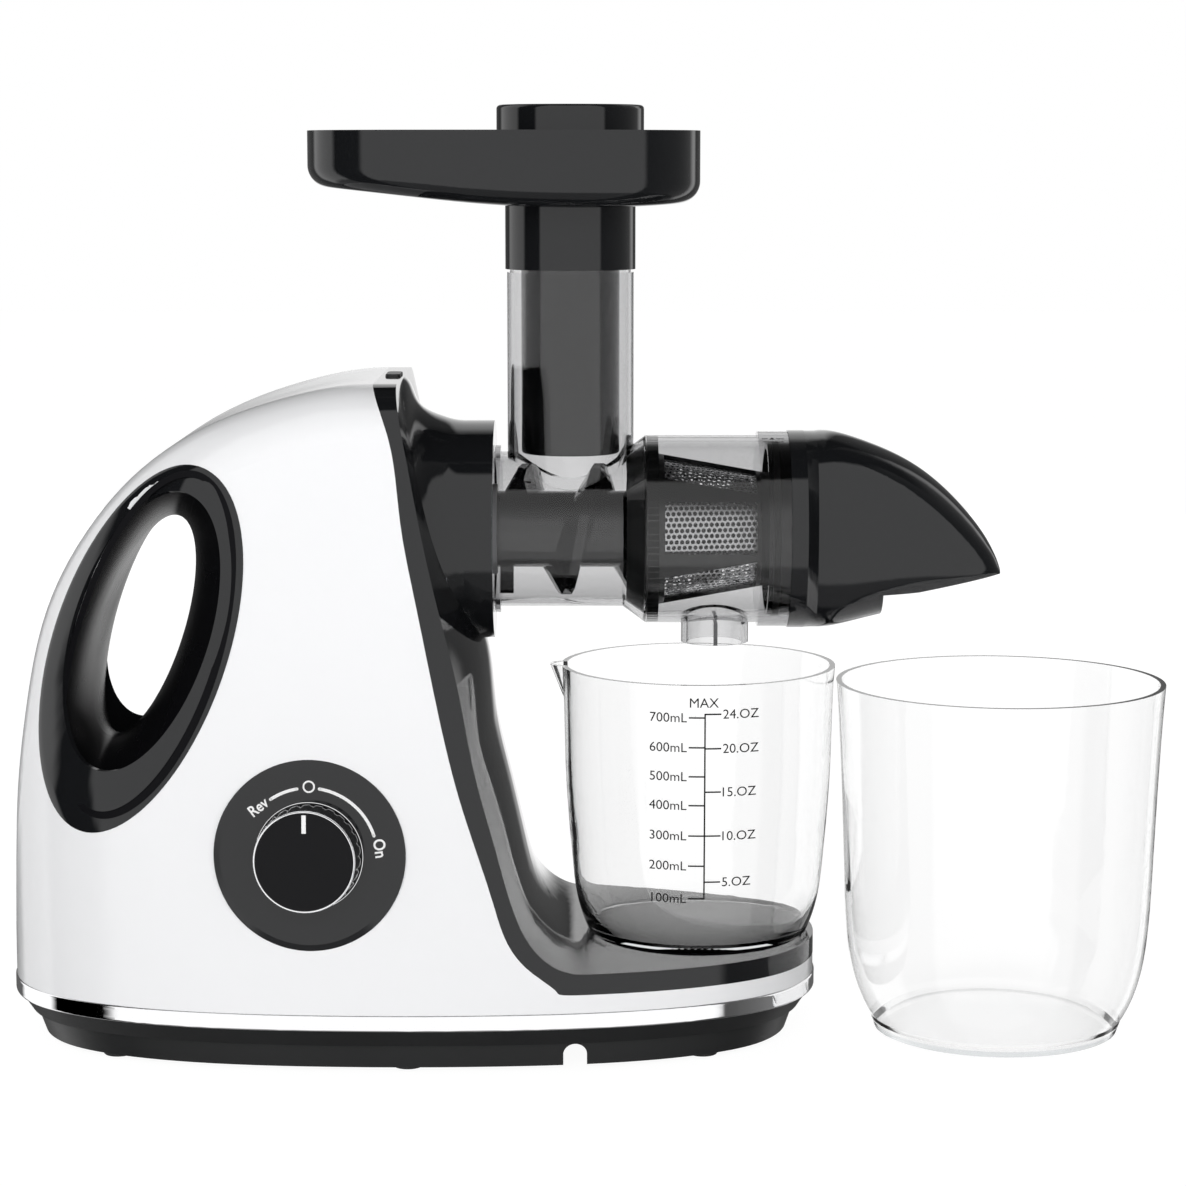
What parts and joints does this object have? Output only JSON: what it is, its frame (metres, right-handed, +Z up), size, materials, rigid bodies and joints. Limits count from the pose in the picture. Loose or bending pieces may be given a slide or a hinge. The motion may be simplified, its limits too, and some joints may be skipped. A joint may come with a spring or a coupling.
{
  "type": "cold press juicer",
  "caption": "Horizontal slow juicer: geared motor housing with carrying handle and dial, clear auger drum, feed tray with pusher, pulp cap and two catching cups",
  "frame": {"origin": "middle of the base on the table", "axes": "+X from the handle to the pulp outlet, +Y to the back (the dial faces -Y), +Z up"},
  "size_m": [0.4647, 0.1745, 0.3719],
  "materials": {
    "gloss_black": "polished black plastic",
    "gloss_white": "polished white plastic",
    "satin_black": "satin black plastic",
    "trim_chrome": "mirror chrome",
    "clear_plastic": "clear tritan-like plastic",
    "foot_rubber": "soft black rubber",
    "seal_silicone": "grey silicone",
    "pointer_white": "white inlay",
    "steel": "turned steel",
    "plated_steel": "zinc-plated sheet",
    "gear_nylon": "natural moulded nylon",
    "bronze": "sintered bronze",
    "grey_nylon": "glass-filled grey nylon",
    "board_green": "circuit board",
    "magnet": "ferrite"
  },
  "bodies": {
    "housing": {"trim_band": "trim_chrome", "base_pan": "satin_black", "cord_gland": "foot_rubber", "base_feet": "foot_rubber", "base_screws": "plated_steel", "dial_plate": "gloss_black", "rotary_switch": "grey_nylon", "body_shell_front": "gloss_white", "body_shell_rear": "gloss_white", "handle_liner_front": "gloss_black", "handle_liner_rear": "gloss_black", "drive_housing": "gloss_black", "button_spring": "steel", "control_board": "board_green", "motor_can": "plated_steel", "motor_end_bell": "plated_steel", "motor_bearings": "bronze", "motor_magnets": "magnet", "motor_brushes": "magnet", "motor_saddle": "grey_nylon", "motor_screws": "plated_steel", "gearbox_case": "grey_nylon", "gearbox_cover": "grey_nylon", "gear_pins": "steel", "gearbox_screws": "plated_steel", "mounting_screws": "plated_steel", "output_bearings": "bronze", "drive_seal": "seal_silicone"},
    "knob": {"control_knob": "gloss_black", "knob_pointer": "pointer_white", "knob_ring": "trim_chrome", "switch_shaft": "grey_nylon"},
    "button": {"release_button": "satin_black"},
    "rotor": {"motor_armature": "steel", "cooling_fan": "grey_nylon", "motor_pinion": "steel"},
    "first_gear": {"first_reduction_gear": "gear_nylon"},
    "second_gear": {"second_reduction_gear": "gear_nylon"},
    "output": {"output_shaft": "steel", "output_gear": "gear_nylon"},
    "screw": {"auger": "gloss_black", "auger_hex": "steel", "auger_seal": "seal_silicone"},
    "drum": {"juice_drum": "clear_plastic", "strainer": "satin_black", "strainer_screen": "steel"},
    "cap": {"pulp_cap": "gloss_black", "cap_seal": "foot_rubber", "auger_bush": "bronze"},
    "tray": {"feed_tray": "gloss_black"},
    "pusher": {"pusher": "gloss_black"},
    "juice_cup": {"juice_cup": "clear_plastic"},
    "pulp_cup": {"pulp_cup": "clear_plastic"}
  },
  "joints": [
    {"name": "control_knob_turn", "type": "hinge", "parent": "housing", "child": "knob", "pos_m": [-0.0361, -0.07652, 0.0873], "axis": [-0.0523, -0.9973, 0.0523], "range_deg": [-80, 45]},
    {"name": "release_button_press", "type": "slide", "parent": "housing", "child": "button", "axis": [0, 0, -1], "range_m": [0, 0.003], "stiffness_N_per_m": 400, "springref_m": -0.002, "deforming": ["button_spring"]},
    {"name": "motor_spin", "type": "hinge", "parent": "housing", "child": "rotor", "pos_m": [0, 0, 0.108], "axis": [1, 0, 0], "continuous": true},
    {"name": "first_gear_spin", "type": "hinge", "parent": "housing", "child": "first_gear", "pos_m": [0, -0.018, 0.13918], "axis": [1, 0, 0], "continuous": true},
    {"name": "second_gear_spin", "type": "hinge", "parent": "housing", "child": "second_gear", "pos_m": [0, 0.01117, 0.16274], "axis": [1, 0, 0], "continuous": true},
    {"name": "output_spin", "type": "hinge", "parent": "housing", "child": "output", "pos_m": [0, 0, 0.204], "axis": [1, 0, 0], "continuous": true},
    {"name": "auger_spin", "type": "hinge", "parent": "housing", "child": "screw", "pos_m": [0, 0, 0.204], "axis": [1, 0, 0], "continuous": true},
    {"name": "drum_twist", "type": "hinge", "parent": "housing", "child": "drum", "pos_m": [0, 0, 0.204], "axis": [1, 0, 0], "range_deg": [0, 45]},
    {"name": "pulp_cap_twist", "type": "hinge", "parent": "drum", "child": "cap", "pos_m": [0.15, 0, 0.204], "axis": [1, 0, 0], "range_deg": [0, 40]},
    {"name": "feed_tray_lift", "type": "slide", "parent": "drum", "child": "tray", "axis": [0, 0, 1], "range_m": [0, 0.06]},
    {"name": "pusher_lift", "type": "slide", "parent": "tray", "child": "pusher", "axis": [0, 0, 1], "range_m": [0, 0.1]},
    {"name": "juice_cup_slide", "type": "slide", "parent": "housing", "child": "juice_cup", "axis": [0, -1, 0], "range_m": [0, 0.12]},
    {"name": "pulp_cup_slide", "type": "slide", "parent": "housing", "child": "pulp_cup", "axis": [0, -1, 0], "range_m": [0, 0.15]}
  ],
  "couplings": [
    {"joint": "output_spin", "follows": "auger_spin", "ratio": 1},
    {"joint": "second_gear_spin", "follows": "auger_spin", "ratio": -3.75},
    {"joint": "first_gear_spin", "follows": "auger_spin", "ratio": 15},
    {"joint": "motor_spin", "follows": "auger_spin", "ratio": -75}
  ]
}
